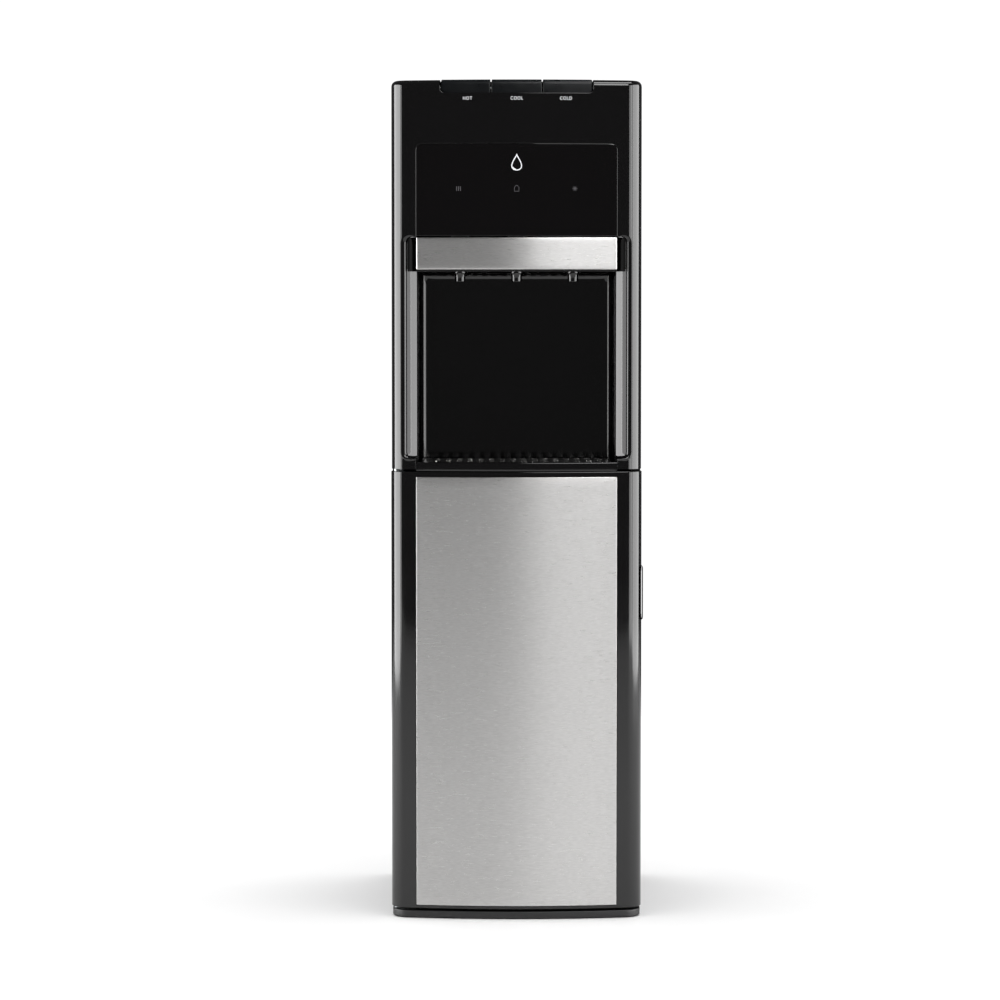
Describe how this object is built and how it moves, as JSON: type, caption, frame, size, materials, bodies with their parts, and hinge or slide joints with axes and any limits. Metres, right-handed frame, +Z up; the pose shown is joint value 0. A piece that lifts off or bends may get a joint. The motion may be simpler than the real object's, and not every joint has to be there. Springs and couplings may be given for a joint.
{
  "type": "bottom-load water dispenser",
  "caption": "Floor-standing water dispenser with a bowed front, press keys over a glass alcove with a drip tray, and a hinged steel-faced door over the bottle bay.",
  "frame": {"origin": "on the floor, under the centre of the cabinet", "axes": "+Z up, the front faces -Y, +X is the right-hand side seen from the front"},
  "size_m": [0.3133, 0.3604, 1.04],
  "materials": {
    "gloss_black": "high-gloss injection-moulded ABS",
    "satin_black": "fine satin moulded ABS",
    "key_plastic": "satin blue-grey ABS",
    "stainless": "brushed, horizontal grain",
    "painted_steel": "black powder coat",
    "zinc_steel": "zinc plated",
    "copper": "bare copper tube",
    "black_rubber": "moulded rubber",
    "foam": "expanded foam jacket",
    "grey_plastic": "grey polypropylene",
    "blue_plastic": "blue polyethylene",
    "red_plastic": "red nylon",
    "silicone": "clear food-grade silicone",
    "circuit_board": "solder-masked board"
  },
  "bodies": {
    "cabinet": {"front_fascia": "gloss_black", "control_panel": "gloss_black", "alcove_liner": "gloss_black", "base_plinth": "satin_black", "top_cover": "satin_black", "spout_housing": "satin_black", "hot_nozzle": "satin_black", "cool_nozzle": "satin_black", "cold_nozzle": "satin_black", "key_carrier": "satin_black", "switch_bezel": "satin_black", "cord_gland": "satin_black", "drain_spout": "satin_black", "visor_band": "stainless", "hot_tank": "stainless", "cold_tank": "stainless", "side_panel_left": "painted_steel", "side_panel_right": "painted_steel", "back_panel": "painted_steel", "compressor": "painted_steel", "condenser_tube": "painted_steel", "condenser_rail_left": "painted_steel", "condenser_rail_right": "painted_steel", "mid_deck": "zinc_steel", "key_pin": "zinc_steel", "hinge_bracket_lower": "zinc_steel", "hinge_bracket_upper": "zinc_steel", "tank_shelf": "zinc_steel", "evaporator_coil": "copper", "foot_front_left": "black_rubber", "foot_front_right": "black_rubber", "foot_rear_left": "black_rubber", "foot_rear_right": "black_rubber", "compressor_base": "black_rubber", "cold_tank_jacket": "foam", "valve_block": "grey_plastic", "bay_liner": "grey_plastic", "bottle_shelf": "grey_plastic", "probe_hanger": "grey_plastic", "pump_body": "grey_plastic", "control_board": "circuit_board"},
    "door": {"door_frame": "gloss_black", "door_skin": "stainless", "door_inner_panel": "satin_black", "door_seal": "black_rubber", "door_pull": "satin_black"},
    "hot_key": {"hot_key": "key_plastic"},
    "cool_key": {"cool_key": "key_plastic"},
    "cold_key": {"cold_key": "key_plastic"},
    "hot_rod": {"hot_push_rod": "grey_plastic"},
    "cool_rod": {"cool_push_rod": "grey_plastic"},
    "cold_rod": {"cold_push_rod": "grey_plastic"},
    "drip_tray": {"drip_tray": "gloss_black"},
    "drip_grille": {"drip_grille": "stainless"},
    "probe": {"probe_cap": "blue_plastic", "probe_pipe": "stainless", "probe_hose": "silicone"},
    "hot_switch": {"hot_switch": "red_plastic"},
    "cold_switch": {"cold_switch": "satin_black"},
    "drain_cap": {"drain_cap": "satin_black"}
  },
  "joints": [
    {"name": "door_hinge", "type": "hinge", "parent": "cabinet", "child": "door", "pos_m": [-0.1488, -0.1455, 0.285], "axis": [0, 0, -1], "range_deg": [0, 105]},
    {"name": "hot_key_press", "type": "hinge", "parent": "cabinet", "child": "hot_key", "pos_m": [-0.063, -0.1405, 1.0315], "axis": [1, 0, 0], "range_deg": [0, 6], "stiffness_Nm_per_rad": 0.8, "springref_deg": -2.86},
    {"name": "cool_key_press", "type": "hinge", "parent": "cabinet", "child": "cool_key", "pos_m": [0, -0.1405, 1.0315], "axis": [1, 0, 0], "range_deg": [0, 6], "stiffness_Nm_per_rad": 0.8, "springref_deg": -2.86},
    {"name": "cold_key_press", "type": "hinge", "parent": "cabinet", "child": "cold_key", "pos_m": [0.063, -0.1405, 1.0315], "axis": [1, 0, 0], "range_deg": [0, 6], "stiffness_Nm_per_rad": 0.8, "springref_deg": -2.86},
    {"name": "hot_rod_slide", "type": "slide", "parent": "cabinet", "child": "hot_rod", "axis": [0, 0, -1], "range_m": [0, 0.002]},
    {"name": "cool_rod_slide", "type": "slide", "parent": "cabinet", "child": "cool_rod", "axis": [0, 0, -1], "range_m": [0, 0.002]},
    {"name": "cold_rod_slide", "type": "slide", "parent": "cabinet", "child": "cold_rod", "axis": [0, 0, -1], "range_m": [0, 0.002]},
    {"name": "drip_tray_slide", "type": "slide", "parent": "cabinet", "child": "drip_tray", "axis": [0, -1, 0], "range_m": [0, 0.15]},
    {"name": "drip_grille_lift", "type": "slide", "parent": "drip_tray", "child": "drip_grille", "axis": [0, 0, 1], "range_m": [0, 0.06]},
    {"name": "probe_lift", "type": "slide", "parent": "cabinet", "child": "probe", "axis": [0, 0, 1], "range_m": [0, 0.02]},
    {"name": "hot_switch_rock", "type": "hinge", "parent": "cabinet", "child": "hot_switch", "pos_m": [-0.112, 0.1503, 0.962], "axis": [-1, 0, 0], "range_deg": [0, 18]},
    {"name": "cold_switch_rock", "type": "hinge", "parent": "cabinet", "child": "cold_switch", "pos_m": [-0.088, 0.1503, 0.962], "axis": [-1, 0, 0], "range_deg": [0, 18]},
    {"name": "drain_cap_pull", "type": "slide", "parent": "cabinet", "child": "drain_cap", "axis": [0, 1, 0], "range_m": [0, 0.03]}
  ],
  "couplings": [
    {"joint": "hot_rod_slide", "follows": "hot_key_press", "m_per_rad": 0.0175},
    {"joint": "cool_rod_slide", "follows": "cool_key_press", "m_per_rad": 0.0175},
    {"joint": "cold_rod_slide", "follows": "cold_key_press", "m_per_rad": 0.0175}
  ]
}
